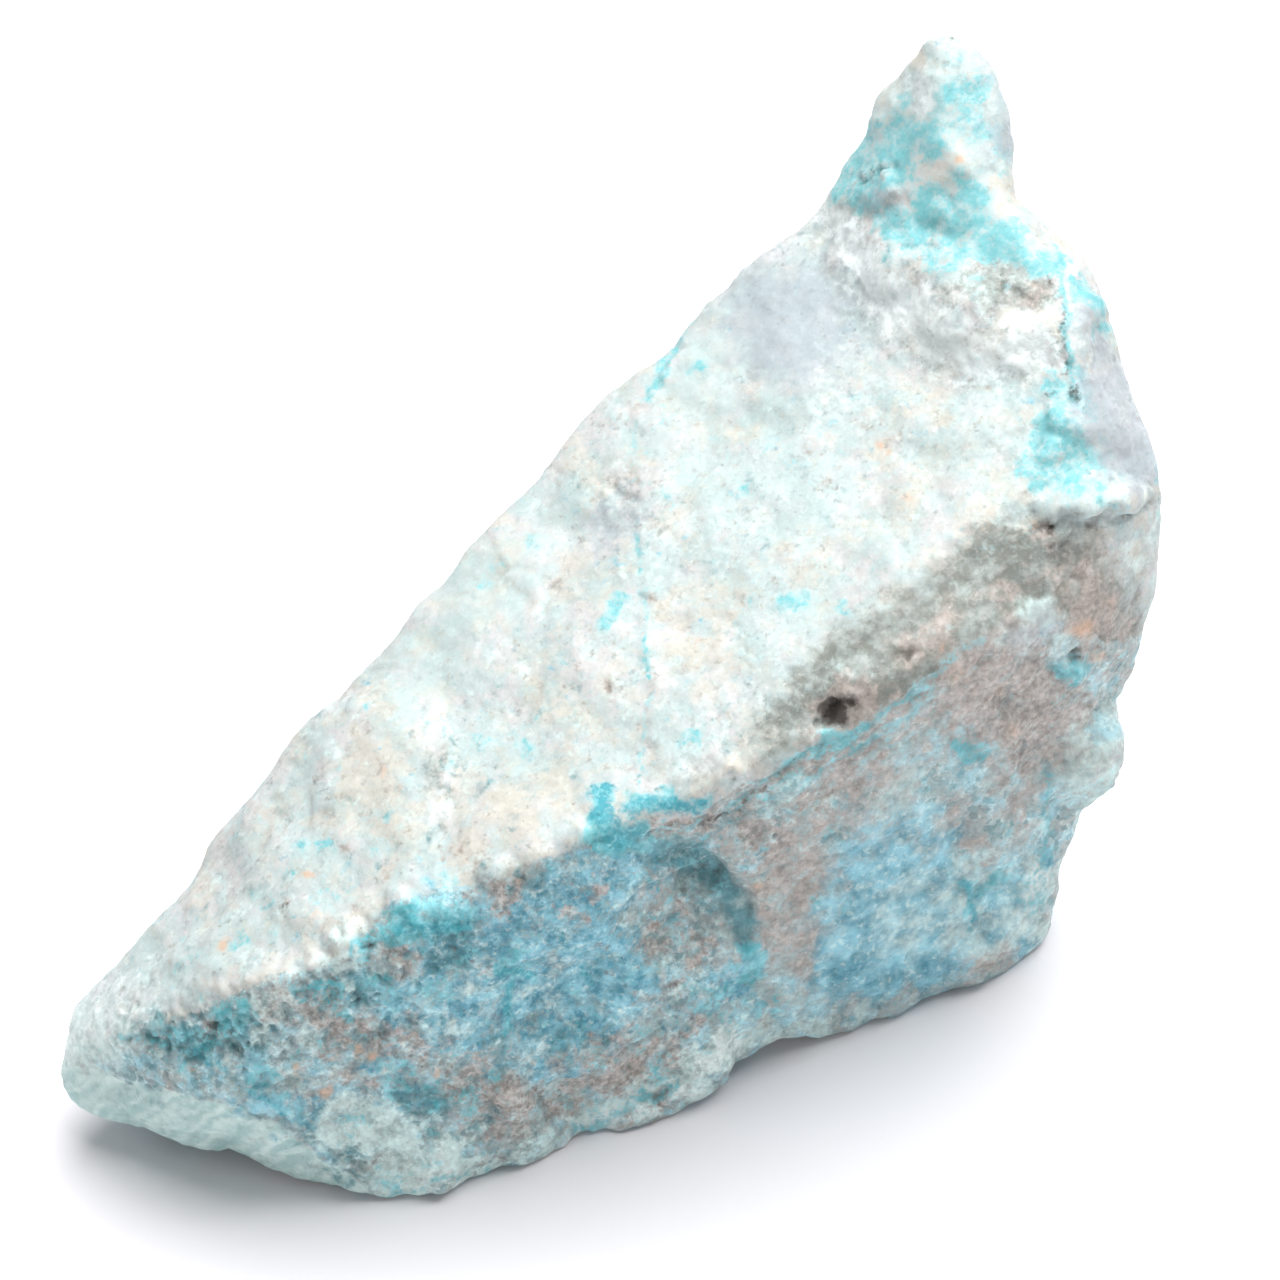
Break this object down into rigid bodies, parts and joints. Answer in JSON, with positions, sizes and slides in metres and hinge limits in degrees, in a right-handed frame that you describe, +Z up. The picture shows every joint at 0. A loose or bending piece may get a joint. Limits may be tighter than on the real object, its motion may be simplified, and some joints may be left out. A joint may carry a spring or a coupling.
{
  "type": "raw chrysocolla stone",
  "caption": "Rough broken mineral stone: a wedge with a sloping pale top face, a steep blue front face and a pointed horn at the tall end, resting on its underside.",
  "frame": {"origin": "middle of the bottom of the stone's box, on the plane it rests on", "axes": "+X along the length, from the low tip to the tall end; -Y is the steep front face; +Z up"},
  "size_m": [0.0594, 0.0324, 0.0453],
  "materials": {
    "stone": "rough broken surface, pale host rock with turquoise and blue crusts"
  },
  "bodies": {
    "root": {"chrysocolla": "stone"}
  },
  "joints": []
}
